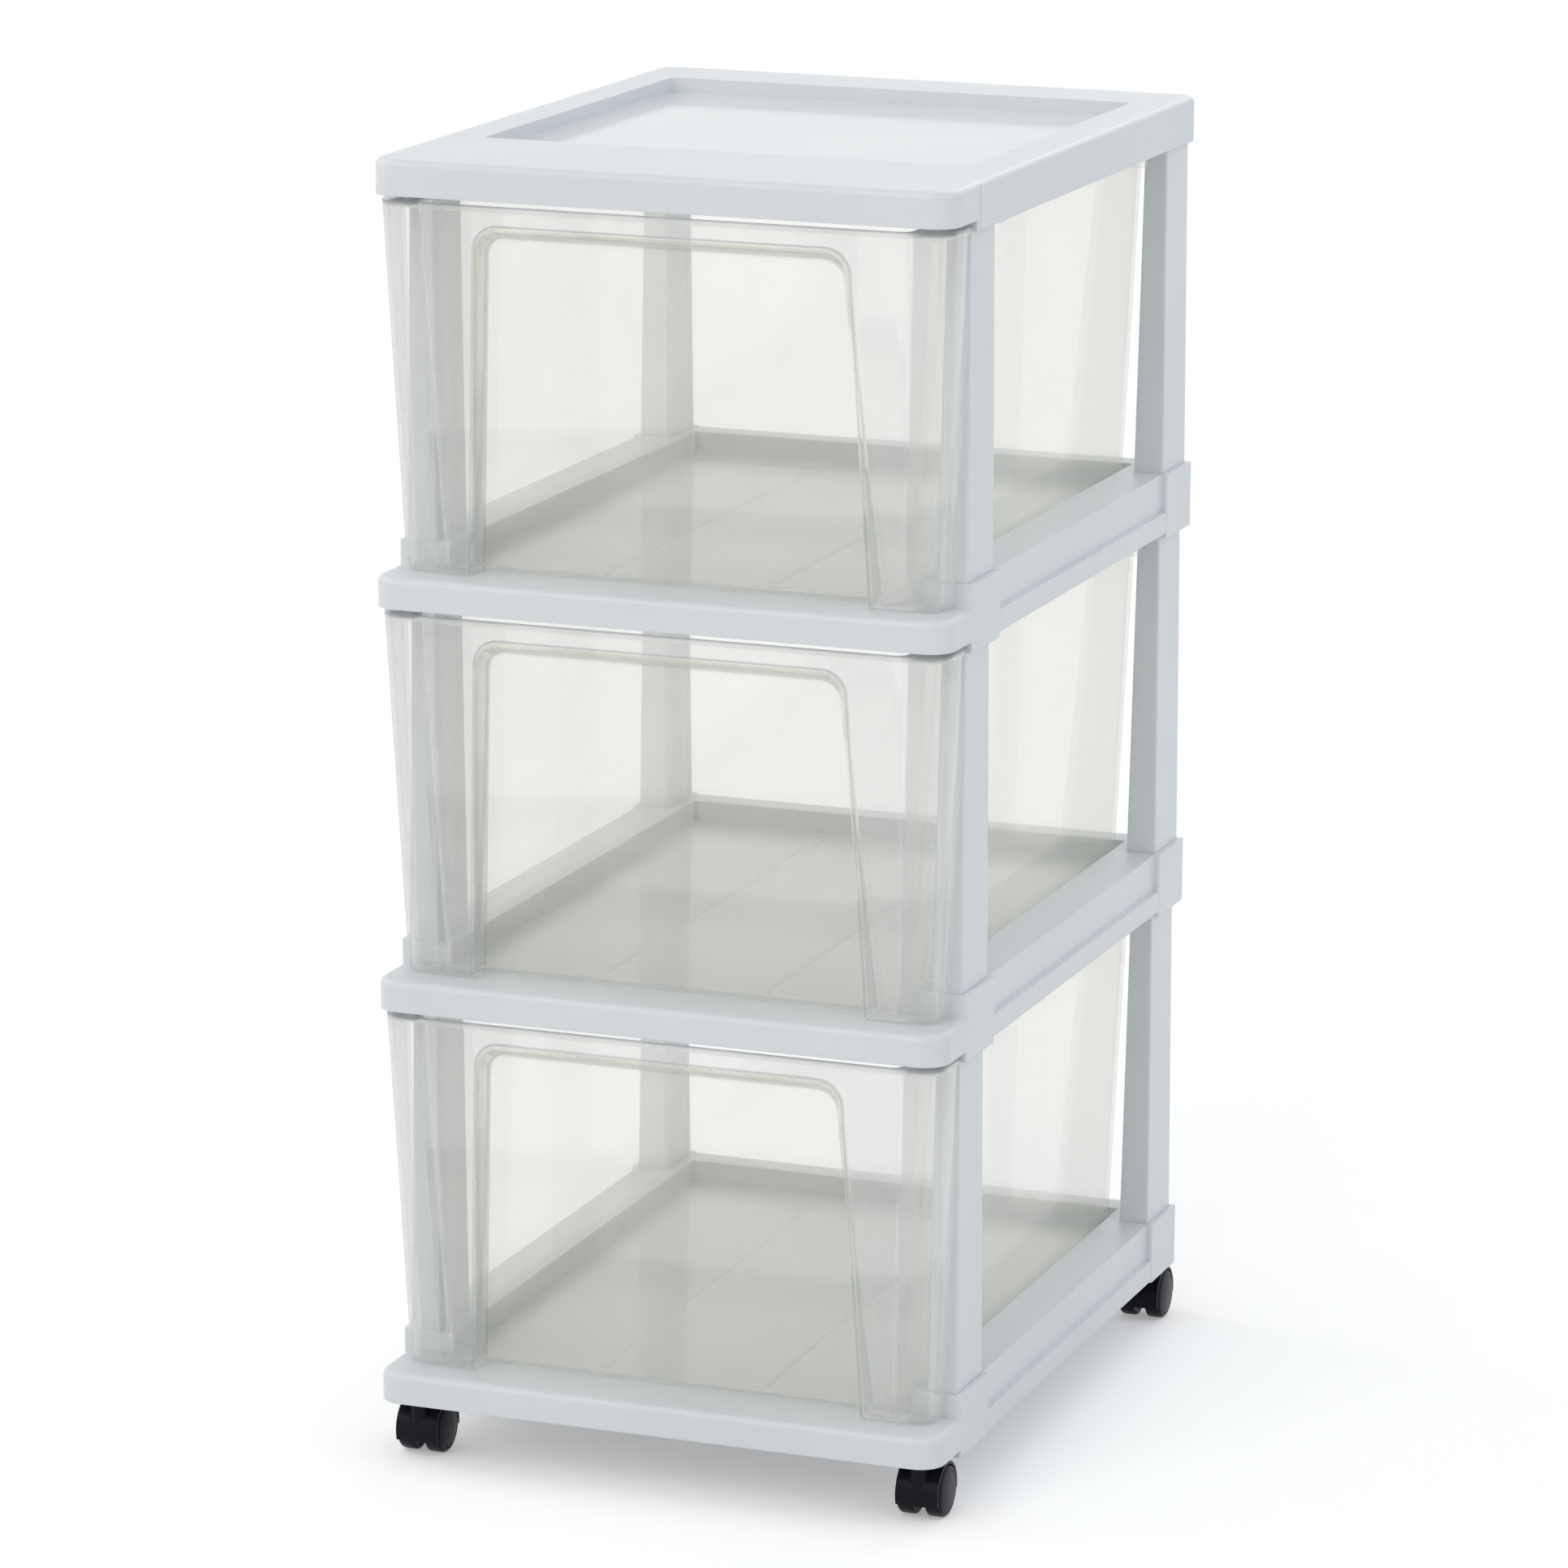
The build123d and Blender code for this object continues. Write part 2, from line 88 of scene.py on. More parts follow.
class Value:
    """A number on a node's socket that takes part in Python sums."""

    def __init__(self, nodes: "Nodes", socket: bpy.types.NodeSocket) -> None:
        """Keeps the socket and the tree it belongs to."""
        self.nodes = nodes
        self.socket = socket

    def math(self, operation: str, first: "Number", second: "Number" = 0.0) -> "Value":
        """Adds one Math node.

        Args:
            operation: The Math node's operation.
            first: Its first number.
            second: Its second number.

        Returns:
            The node's result.
        """
        made = self.nodes.node("ShaderNodeMath", {"operation": operation}, {0: first, 1: second})
        return Value(self.nodes, made.outputs[0])

    def __add__(self, other: "Number") -> "Value":
        """Self plus other."""
        return self.math("ADD", self, other)

    def __radd__(self, other: "Number") -> "Value":
        """Other plus self."""
        return self.math("ADD", other, self)

    def __sub__(self, other: "Number") -> "Value":
        """Self minus other."""
        return self.math("SUBTRACT", self, other)

    def __rsub__(self, other: "Number") -> "Value":
        """Other minus self."""
        return self.math("SUBTRACT", other, self)

    def __mul__(self, other: "Number") -> "Value":
        """Self times other."""
        return self.math("MULTIPLY", self, other)

    def __rmul__(self, other: "Number") -> "Value":
        """Other times self."""
        return self.math("MULTIPLY", other, self)

    def __abs__(self) -> "Value":
        """Self without its sign."""
        return self.math("ABSOLUTE", self)

    def most(self, other: "Number") -> "Value":
        """The larger of self and other."""
        return self.math("MAXIMUM", self, other)

    def least(self, other: "Number") -> "Value":
        """The smaller of self and other."""
        return self.math("MINIMUM", self, other)

    def root(self) -> "Value":
        """The square root of self."""
        return self.math("SQRT", self)

    def rise(self, low: float, high: float) -> "Value":
        """A smooth step.

        Args:
            low: Where the step is still 0.
            high: Where the step has reached 1.

        Returns:
            The step, from 0 to 1.
        """
        made = self.nodes.node(
            "ShaderNodeMapRange",
            {"interpolation_type": "SMOOTHSTEP", "clamp": True},
            {"Value": self, "From Min": low, "From Max": high},
        )
        return Value(self.nodes, made.outputs[0])


Number = Union[float, Value]


class Nodes:
    """The node tree of one material or of the world."""

    def __init__(self, owner: Union[bpy.types.Material, bpy.types.World]) -> None:
        """Empties the owner's tree."""
        owner.use_nodes = True
        self.tree = owner.node_tree
        self.tree.nodes.clear()

    def node(
        self,
        kind: str,
        settings: Optional[Mapping[str, Any]] = None,
        sockets: Optional[Mapping[Union[str, int], Any]] = None,
    ) -> bpy.types.Node:
        """Adds a node of any kind.

        Args:
            kind: The node's type.
            settings: Its settings, set first.
            sockets: Numbers, colours or links for its inputs.

        Returns:
            The node.
        """
        made = self.tree.nodes.new(kind)
        for name, setting in (settings or {}).items():
            setattr(made, name, setting)
        for name, given in (sockets or {}).items():
            if isinstance(given, Value):
                self.tree.links.new(given.socket, made.inputs[name])
            elif isinstance(given, bpy.types.NodeSocket):
                self.tree.links.new(given, made.inputs[name])
            else:
                made.inputs[name].default_value = given
        return made

    def place(self) -> bpy.types.NodeSocket:
        """The point's own place on its piece, in metres."""
        return self.node("ShaderNodeTexCoord").outputs["Object"]

    def axes(self) -> Tuple[Value, Value, Value]:
        """The point's X, Y and Z on its piece, in metres."""
        split = self.node("ShaderNodeSeparateXYZ", None, {0: self.place()})
        return tuple(Value(self, out) for out in split.outputs)

    def noise(self, scale: float, detail: float = 2.0, stretch: Point = (1, 1, 1)) -> Value:
        """Cloudy noise on the piece's own coordinates.

        Args:
            scale: Clouds per metre.
            detail: How many finer layers are added.
            stretch: How much denser the clouds are along each axis.

        Returns:
            The noise, from 0 to 1.
        """
        turned = self.node("ShaderNodeMapping", None, {"Vector": self.place(), "Scale": stretch})
        made = self.node(
            "ShaderNodeTexNoise", None, {"Vector": turned.outputs[0], "Scale": scale, "Detail": detail}
        )
        return Value(self, made.outputs[0])

    def blend(self, share: Value, first: Any, second: Any) -> bpy.types.NodeSocket:
        """Mixes two colours.

        Args:
            share: How much of the second colour shows.
            first: The first colour or a link to it.
            second: The second colour or a link to it.

        Returns:
            The mixed colour.
        """
        made = self.node("ShaderNodeMix", {"data_type": "RGBA"}, {0: share, 6: first, 7: second})
        return made.outputs[2]

    def rounded(self, radius: float) -> bpy.types.NodeSocket:
        """The normal, with edges rounded in the shading by this radius in metres."""
        return self.node("ShaderNodeBevel", {"samples": 4}, {"Radius": radius}).outputs[0]

    def edges(self, rounded: bpy.types.NodeSocket) -> Value:
        """Where the piece has an edge.

        Args:
            rounded: The normal with rounded edges.

        Returns:
            The edges, from 0 to 1.
        """
        plain = self.node("ShaderNodeNewGeometry").outputs["Normal"]
        turn = self.node("ShaderNodeVectorMath", {"operation": "DOT_PRODUCT"}, {0: rounded, 1: plain})
        return 1 - Value(self, turn.outputs["Value"]).rise(0.80, 0.98)

    def relief(
        self, height: Value, depth: float, under: Optional[bpy.types.NodeSocket] = None
    ) -> bpy.types.NodeSocket:
        """A bump.

        Args:
            height: The relief's height, from 0 to 1.
            depth: Its depth in metres.
            under: The normal that it lies on, or None for the piece's own.

        Returns:
            The normal.
        """
        sockets: Dict[Union[str, int], Any] = {"Height": height, "Distance": depth}
        if under is not None:
            sockets["Normal"] = under
        return self.node("ShaderNodeBump", None, sockets).outputs[0]

    def surface(self, sockets: Mapping[Union[str, int], Any]) -> None:
        """Ends the tree in a Principled surface with these sockets."""
        shader = self.node("ShaderNodeBsdfPrincipled", None, sockets)
        self.node("ShaderNodeOutputMaterial", None, {"Surface": shader.outputs[0]})


Mask = Callable[[Nodes], Value]


@dataclass(frozen=True)
class MouldedPlastic:
    """An opaque moulded plastic with a tone that drifts, a fine grain, painted highlights on its edges and
    painted shade along its parting lines.

    Fields: the tone, the deeper tone that it drifts to, the painted highlight's tone on the edges and the
    painted shade's tone along the parting lines, the gloss, the roughness and how far it varies, the grain's
    depth and the radius that the mould leaves on edges.
    The scales are in clouds per metre. The grain's share is its height beside the waves, and the polish
    is the share of the roughness that polishing takes away.
    """

    name: str
    tone: Colour
    deeper: Colour
    # the rim tone is a painted highlight, laid along the edges where light would catch them
    rim: Colour
    # the tone of the painted shade along the parting lines
    seam_shade_tone: Colour
    gloss: float
    roughness: float
    unevenness: float
    grain: float
    edge: float
    drift_scale: float = 9.0
    grain_scale: float = 1300.0
    wave_scale: float = 22.0
    rough_scale: float = 60.0
    grain_share: float = 0.35
    polish: float = 0.72

    def make(self, polished: Optional[Mask] = None, seams: Optional[Mask] = None) -> bpy.types.Material:
        """Makes the material.

        Args:
            polished: Gives where the mould was polished, from 0 to 1, or None for nowhere.
            seams: Gives where two halves of the mould met, for a painted shade line there, from 0 to 1, or
                None for nowhere.

        Returns:
            The material.
        """
        material = bpy.data.materials.new(self.name)
        nodes = Nodes(material)
        drift = nodes.noise(self.drift_scale, 3.0)
        fine = nodes.noise(self.grain_scale, 1.0)
        waves = nodes.noise(self.wave_scale, 1.0)
        rough = self.roughness + self.unevenness * (nodes.noise(self.rough_scale, 3.0) - NOISE_MEAN)
        if polished is not None:
            where = polished(nodes)
            rough = rough * (1 - self.polish * where)
            fine = fine * (1 - where)
        colour = nodes.blend(drift.rise(0.3, 0.7), self.tone, self.deeper)
        rounded = nodes.rounded(self.edge)
        # Painted highlight: the edges are blended towards the paler rim tone.
        colour = nodes.blend(nodes.edges(rounded), colour, self.rim)
        # Painted shade: a dark line is laid where two halves of the mould met, for the shade in the step
        # there.
        if seams is not None:
            colour = nodes.blend(seams(nodes), colour, self.seam_shade_tone)
        nodes.surface(
            {
                "Base Color": colour,
                "Roughness": rough,
                "IOR": PLASTIC_IOR,
                "Specular IOR Level": self.gloss,
                "Normal": nodes.relief(fine * self.grain_share + waves, self.grain, rounded),
            }
        )
        return material


class Haze(Enum):
    """How much of the drawer plastic's haze one face shows, by where on the drawer it is."""

    CLEAR = 0.15
    # the pillars, which also get painted shade
    PILLAR = 0.28
    RECESS = 0.52
    RIM = 0.72
    # the edges' lines, which also get painted shade
    EDGE = 0.66


@dataclass(frozen=True)
class ClearPlastic:
    """A clear drawer plastic with a cream haze, denser where the wall is thick or bent, with painted shade
    in its pillars and painted shade lines along its edges.

    Fields: the haze's tone and deeper tone, the cooler, greyer tone of the painted shade in the pillars, the
    dark tone of the painted shade lines along the edges, how much of the haze gathers along faces seen at a
    slant, the share of light that bends through, and the roughness. The clouds vary the haze, and the flow
    marks vary the roughness and lie in relief.
    """

    name: str
    tone: Colour
    deeper: Colour
    # the tone of the painted shade in the pillars, cooler and greyer than the haze
    pillar_shade_tint: Colour
    # the dark tone of the painted shade lines along the drawer's edges
    line: Colour
    gathered: float
    bending: float
    roughness: float
    slant: float = 0.35
    cloud_scale: float = 14.0
    cloud_stretch: Point = (1.0, 1.0, 0.35)
    cloud_haze: float = 0.04
    flow_scale: float = 18.0
    flow_stretch: Point = (1.0, 1.0, 0.3)
    flow_roughness: float = 0.04
    flow_depth: float = 0.00003

    def make(self, name: str, zones: Callable[[Nodes], Mapping[Haze, Value]]) -> bpy.types.Material:
        """Makes the material of one drawer.

        Args:
            name: The material's name.
            zones: Gives each haze's place on the drawer, from 0 to 1.

        Returns:
            The material.
        """
        material = bpy.data.materials.new(name)
        nodes = Nodes(material)
        clouds = nodes.noise(self.cloud_scale, 3.0, self.cloud_stretch)
        flow = nodes.noise(self.flow_scale, 0.0, self.flow_stretch)
        facing = nodes.node("ShaderNodeLayerWeight", None, {"Blend": self.slant})
        graze = Value(nodes, facing.outputs["Facing"])
        haze = Haze.CLEAR.value + self.cloud_haze * (clouds - NOISE_MEAN)
        places = zones(nodes)
        for kind, where in places.items():
            haze = haze + (kind.value - haze) * where
        colour = nodes.blend(clouds.rise(0.3, 0.7), self.tone, self.deeper)
        # Painted shade: the pillars are tinted cooler and greyer.
        colour = nodes.blend(places[Haze.PILLAR], colour, self.pillar_shade_tint)
        # Painted shade: dark lines are laid along the grip's recess, the panel's edge and the drawer's top.
        colour = nodes.blend(places[Haze.EDGE], colour, self.line)
        nodes.surface(
            {
                "Base Color": colour,
                "Roughness": self.roughness + self.flow_roughness * (flow - NOISE_MEAN),
                "IOR": PLASTIC_IOR,
                "Transmission Weight": self.bending,
                "Alpha": haze + self.gathered * graze * graze,
                "Normal": nodes.relief(flow, self.flow_depth),
            }
        )
        return material


@dataclass(frozen=True)
class TurnedSteel:
    """Bright drawn steel with fine marks round it.

    Fields: the tone, the tone of the marks, and the roughness. The marks also vary the roughness and lie
    in relief.
    """

    name: str
    tone: Colour
    marked: Colour
    roughness: float
    mark_scale: float = 900.0
    mark_stretch: Point = (6.0, 0.4, 0.4)
    mark_roughness: float = 0.15
    mark_depth: float = 0.00005

    def make(self) -> bpy.types.Material:
        """Makes the material."""
        material = bpy.data.materials.new(self.name)
        nodes = Nodes(material)
        marks = nodes.noise(self.mark_scale, 2.0, self.mark_stretch)
        nodes.surface(
            {
                "Base Color": nodes.blend(marks, self.tone, self.marked),
                "Metallic": 1.0,
                "Roughness": self.roughness + self.mark_roughness * (marks - NOISE_MEAN),
                "Normal": nodes.relief(marks, self.mark_depth),
            }
        )
        return material


WHITE = MouldedPlastic(
    name="white_frame_plastic",
    tone=(0.79, 0.82, 0.835, 1),
    deeper=(0.76, 0.79, 0.81, 1),
    # the rim tone is a painted highlight along the edges
    rim=(0.95, 0.965, 0.975, 1),
    # the tone of the painted shade along the cover's parting lines
    seam_shade_tone=(0.46, 0.48, 0.51, 1),
    gloss=0.5,
    roughness=0.36,
    unevenness=0.10,
    grain=0.00012,
    edge=0.0006,
)
BLACK = MouldedPlastic(
    name="black_caster_plastic",
    tone=(0.005, 0.004, 0.009, 1),
    deeper=(0.008, 0.006, 0.013, 1),
    # the rim tone is a painted highlight along the edges
    rim=(0.018, 0.016, 0.026, 1),
    # the tone of the painted shade along parting lines; the casters have none
    seam_shade_tone=(0.004, 0.004, 0.005, 1),
    gloss=0.14,
    roughness=0.34,
    unevenness=0.16,
    grain=0.00006,
    edge=0.0003,
)
CLEAR = ClearPlastic(
    name="clear_drawer_plastic",
    tone=(0.93, 0.91, 0.79, 1),
    deeper=(0.91, 0.89, 0.78, 1),
    # the tone of the painted shade in the pillars
    pillar_shade_tint=(0.87, 0.875, 0.85, 1),
    # the tone of the painted shade lines
    line=(0.52, 0.56, 0.61, 1),
    gathered=0.38,
    bending=0.60,
    roughness=0.05,
)
STEEL = TurnedSteel(
    name="axle_steel",
    tone=(0.56, 0.56, 0.58, 1),
    marked=(0.42, 0.42, 0.44, 1),
    roughness=0.30,
)


class Bench:
    """The modelling moves that the pieces share."""

    @staticmethod
    def clear() -> None:
        """Deselects everything."""
        bpy.ops.object.select_all(action="DESELECT")

    @staticmethod
    def dress(piece: bpy.types.Object, material: bpy.types.Material) -> None:
        """Gives a piece one material all over.

        Args:
            piece: The piece.
            material: The material.
        """
        piece.data.materials.clear()
        piece.data.materials.append(material)

    @staticmethod
    def pick(piece: bpy.types.Object, wanted: Callable[[Vector, Vector], bool]) -> None:
        """Selects faces in edit mode by their centre and normal.

        Args:
            piece: The piece in edit mode.
            wanted: Says whether a face with this centre and normal is selected.
        """
        bpy.ops.mesh.select_all(action="DESELECT")
        bpy.ops.object.mode_set(mode="OBJECT")
        for face in piece.data.polygons:
            face.select = wanted(face.center, face.normal)
        bpy.ops.object.mode_set(mode="EDIT")

    @staticmethod
    def pick_edges(piece: bpy.types.Object, wanted: Callable[[Vector, Vector], bool]) -> None:
        """Selects edges in edit mode by their two ends.

        Args:
            piece: The piece in edit mode.
            wanted: Says whether an edge between these ends is selected.
        """
        bpy.ops.mesh.select_mode(type="EDGE")
        bpy.ops.mesh.select_all(action="DESELECT")
        bpy.ops.object.mode_set(mode="OBJECT")
        points = [vertex.co for vertex in piece.data.vertices]
        for edge in piece.data.edges:
            edge.select = wanted(points[edge.vertices[0]], points[edge.vertices[1]])
        bpy.ops.object.mode_set(mode="EDIT")

    @staticmethod
    def copy(piece: bpy.types.Object, name: str, move: Matrix) -> bpy.types.Object:
        """Copies a piece with its own mesh and puts its place in that mesh.

        Args:
            piece: The piece to copy.
            name: The copy's name.
            move: Where the copy goes.

        Returns:
            The copy, at the origin.
        """
        mesh = piece.data.copy()
        mesh.name = name
        mesh.transform(move)
        made = bpy.data.objects.new(name, mesh)
        bpy.context.scene.collection.objects.link(made)
        return made


@dataclass
class FrameMouldings:
    """The white cover, shelves, base and posts."""

    plates: Tuple[str, ...] = ("upper_shelf", "lower_shelf", "base_frame")
    tray_floor: float = 0.6496
    tray_lip: float = 0.0006
    tray_half: float = 0.126
    tray_front: float = FRONT_FACE + 0.090
    tray_rear: float = FRONT_FACE + 0.343
    tray_fade: float = 0.001
    seam_place: float = FRONT_FACE + 0.0405
    seam_side: float = 0.1480
    seam_side_fade: float = 0.0005
    seam_width: Tuple[float, float] = (0.0004, 0.0010)
    seam_share: float = 0.6

    def polish(self, nodes: Nodes) -> Value:
        """The tray's polished floor.

        Args:
            nodes: The cover's node tree.

        Returns:
            The floor, from 0 to 1.
        """
        x, y, z = nodes.axes()
        inside = 1 - abs(x).rise(self.tray_half - self.tray_fade, self.tray_half)
        inside = inside * y.rise(self.tray_front, self.tray_front + self.tray_fade)
        inside = inside * (1 - y.rise(self.tray_rear - self.tray_fade, self.tray_rear))
        return inside * (1 - abs(z - self.tray_floor).rise(0.0, self.tray_lip))

    def seams(self, nodes: Nodes) -> Value:
        """A painted shade line on the upright parting line behind the cover's lip, on either side.

        Args:
            nodes: The cover's node tree.

        Returns:
            The painted shade line, from 0 to 1.
        """
        x, y, _ = nodes.axes()
        line = 1 - abs(y - self.seam_place).rise(*self.seam_width)
        return self.seam_share * line * abs(x).rise(self.seam_side - self.seam_side_fade, self.seam_side)

    def dress(self) -> None:
        """Dresses the cover, the plates and the posts."""
        plain = WHITE.make()
        # The cover also gets the painted shade along its parting lines.
        Bench.dress(frame["nodes"]["top_cover"], WHITE.make(self.polish, self.seams))
        for name in self.plates:
            Bench.dress(frame["nodes"][name], plain)
        for name, node in frame["nodes"].items():
            if name.endswith("_post"):
                Bench.dress(node, plain)
        LOG.info("dressed the cover, %d plates and the posts", len(self.plates))


@dataclass
class Drawer:
    """One clear drawer: pillars and head beside the grip, with painted shade, the grip's sloping wall, the
    rim, and painted shade lines along its edges.
    """

    tier: str
    height: float = 0.1836
    rim: float = 0.0030
    front_back: float = FRONT_FACE + 0.0355
    recess: Tuple[float, float, float, float] = (0.1035, 0.0955, 0.1739, 0.012)
    panel: Tuple[float, float, float, float] = (0.1028, 0.0905, 0.1681, 0.009)
    front_fade: float = 0.001
    arch_fade: float = 0.0004
    rim_fade: float = 0.0003
    # the widths of the painted shade lines
    recess_line: Tuple[float, float] = (0.0002, 0.0007)
    panel_line: Tuple[float, float] = (0.0002, 0.0006)
    panel_line_share: float = 0.5
    top_line: Tuple[float, float] = (0.0010, 0.0006)

    @staticmethod
    def arch(x: Value, up: Value, shape: Tuple[float, float, float, float]) -> Value:
        """How far a point is outside an arch in the drawer's front.

        Args:
            x: The point's place across the drawer.
            up: Its height over the drawer's foot.
            shape: The arch's half width at its foot and at its head, its height and its corner radius.

        Returns:
            The distance in metres, below 0 inside the arch.
        """
        foot, head, height, radius = shape
        aside = abs(x) + up * ((foot - head) / height) - (foot - radius)
        above = up - (height - radius)
        out, over = aside.most(0.0), above.most(0.0)
        return (out * out + over * over).root() + aside.most(above).least(0.0) - radius

    def zones(self, nodes: Nodes) -> Mapping[Haze, Value]:
        """Where each haze of the plastic is.

        Args:
            nodes: The drawer's node tree.

        Returns:
            The share of each haze, from 0 to 1.
        """
        x, y, z = nodes.axes()
        up = z - DRAWER_FEET[self.tier]
        front = 1 - y.rise(self.front_back - self.front_fade, self.front_back + self.front_fade)
        recess = self.arch(x, up, self.recess)
        panel = self.arch(x, up, self.panel)
        outside = recess.rise(-self.arch_fade, self.arch_fade)
        wall = (1 - outside) * panel.rise(-self.arch_fade, self.arch_fade)
        # The painted shade lines: along the recess's edge, the panel's edge and the drawer's top.
        recess_line = 1 - abs(recess).rise(*self.recess_line)
        panel_line = self.panel_line_share * (1 - abs(panel).rise(*self.panel_line))
        top_line = up.rise(*(self.height - below for below in self.top_line))
        lines = recess_line.most(panel_line).most(top_line)
        rim_foot = self.height - self.rim
        rim = up.rise(rim_foot - self.rim_fade, rim_foot + self.rim_fade)
        return {
            # The pillars' share also lays their painted shade.
            Haze.PILLAR: outside * front,
            Haze.RECESS: wall * front,
            Haze.RIM: rim,
            Haze.EDGE: lines * front,
        }

    def dress(self) -> None:
        """Dresses the drawer."""
        material = CLEAR.make(f"{CLEAR.name}_{self.tier}", self.zones)
        Bench.dress(frame["nodes"][f"{self.tier}_drawer"], material)
        LOG.info("dressed the %s drawer", self.tier)


@dataclass
class CasterWheel:
    """A caster's wheel: a rounded tread, a domed cap with a ring round it, and a blind bore."""

    radius: float = 0.0130
    width: float = 0.0093
    crown: float = 0.0008
    shoulder: float = 0.0022
    inner_shoulder: float = 0.0009
    bore: float = 0.00155
    bore_depth: float = 0.0073
    steps: Tuple[Tuple[float, float], ...] = (
        (0.0024, 0.0),
        (0.00025, -0.00035),
        (0.00025, 0.00035),
        (0.0012, 0.00022),
        (0.0020, 0.00026),
        (0.0025, 0.00020),
        (0.0024, 0.00010),
    )
    inner_steps: Tuple[Tuple[float, float], ...] = (
        (0.0022, 0.0),
        (0.0004, -0.0005),
        (0.0060, 0.0),
        (0.0003, 0.0005),
    )

    def build(self) -> bpy.types.Object:
        """Models the wheel about the origin, its domed cap towards +X and its inner face on X 0.

        Returns:
            The wheel that the others are copied from.
        """
        Bench.clear()
        flat = self.width - self.crown
        bpy.ops.mesh.primitive_cylinder_add(
            vertices=72,
            radius=self.radius,
            depth=flat,
            location=(flat / 2, 0, 0),
            rotation=(0, math.pi / 2, 0),
        )
        wheel = bpy.context.object
        wheel.name = "caster_wheel"
        bpy.ops.object.transform_apply(location=True, rotation=True, scale=True)
        bpy.ops.object.mode_set(mode="EDIT")
        bpy.ops.mesh.select_mode(type="FACE")
        Bench.pick(wheel, lambda centre, normal: normal.x > 0.9)
        for inward, outward in self.steps:
            bpy.ops.mesh.inset(thickness=inward, depth=outward)
        Bench.pick(wheel, lambda centre, normal: normal.x < -0.9)
        left = self.radius
        for inward, outward in self.inner_steps:
            bpy.ops.mesh.inset(thickness=inward, depth=outward)
            left -= inward
        bpy.ops.mesh.inset(thickness=left - self.bore, depth=0.0)
        bpy.ops.mesh.extrude_region_move(TRANSFORM_OT_translate={"value": (self.bore_depth, 0, 0)})
        self.round_shoulders(wheel, flat)
        bpy.ops.object.mode_set(mode="OBJECT")
        bpy.ops.object.shade_smooth_by_angle(angle=math.radians(32))
        return wheel

    def round_shoulders(self, wheel: bpy.types.Object, flat: float) -> None:
        """Rounds the tread's two shoulders.

        Args:
            wheel: The wheel in edit mode.
            flat: The X of the cap's rim.
        """
        for level, round_by, segments in ((flat, self.shoulder, 5), (0.0, self.inner_shoulder, 3)):
            Bench.pick_edges(
                wheel,
                lambda a, b: all(
                    abs(p.x - level) < 1e-5 and math.hypot(p.y, p.z) > self.radius - 1e-5 for p in (a, b)
                ),
            )
            bpy.ops.mesh.bevel(offset=round_by, offset_type="OFFSET", segments=segments, profile=0.5)


@dataclass
class Caster:
    """One swivel caster: its CAD stem, hood and axle, and two modelled wheels."""

    end: End
    side: Side
    inner_gap: float = 0.0033

    @property
    def name(self) -> str:
        """The caster's name, as its bodies and nodes begin."""
        return f"{self.end.value}_{self.side.name.lower()}_caster"

    def build(self, pattern: bpy.types.Object, black: bpy.types.Material, steel: bpy.types.Material) -> None:
        """Sets the two wheels and dresses the caster.

        Args:
            pattern: The wheel to copy.
            black: The hood's and the wheels' material.
            steel: The stem's and the axle's material.
        """
        low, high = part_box(f"{self.name}_axle")
        middle = (low + high) / 2
        for which, turn in (("outer", self.side.value), ("inner", -self.side.value)):
            node = f"{self.name}_{which}_wheel"
            move = Matrix.Translation(middle + Vector((turn * self.inner_gap, 0, 0)))
            if turn < 0:
                move = move @ Matrix.Rotation(math.pi, 4, "Z")
            wheel = Bench.copy(pattern, f"{node}_moulding", move)
            Bench.dress(wheel, black)
            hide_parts(node)
            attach(wheel, node)
        Bench.dress(frame["nodes"][f"{self.name}_hood"], black)
        for part in ("stem", "axle"):
            Bench.dress(frame["nodes"][f"{self.name}_{part}"], steel)
        LOG.info("built the %s", self.name)


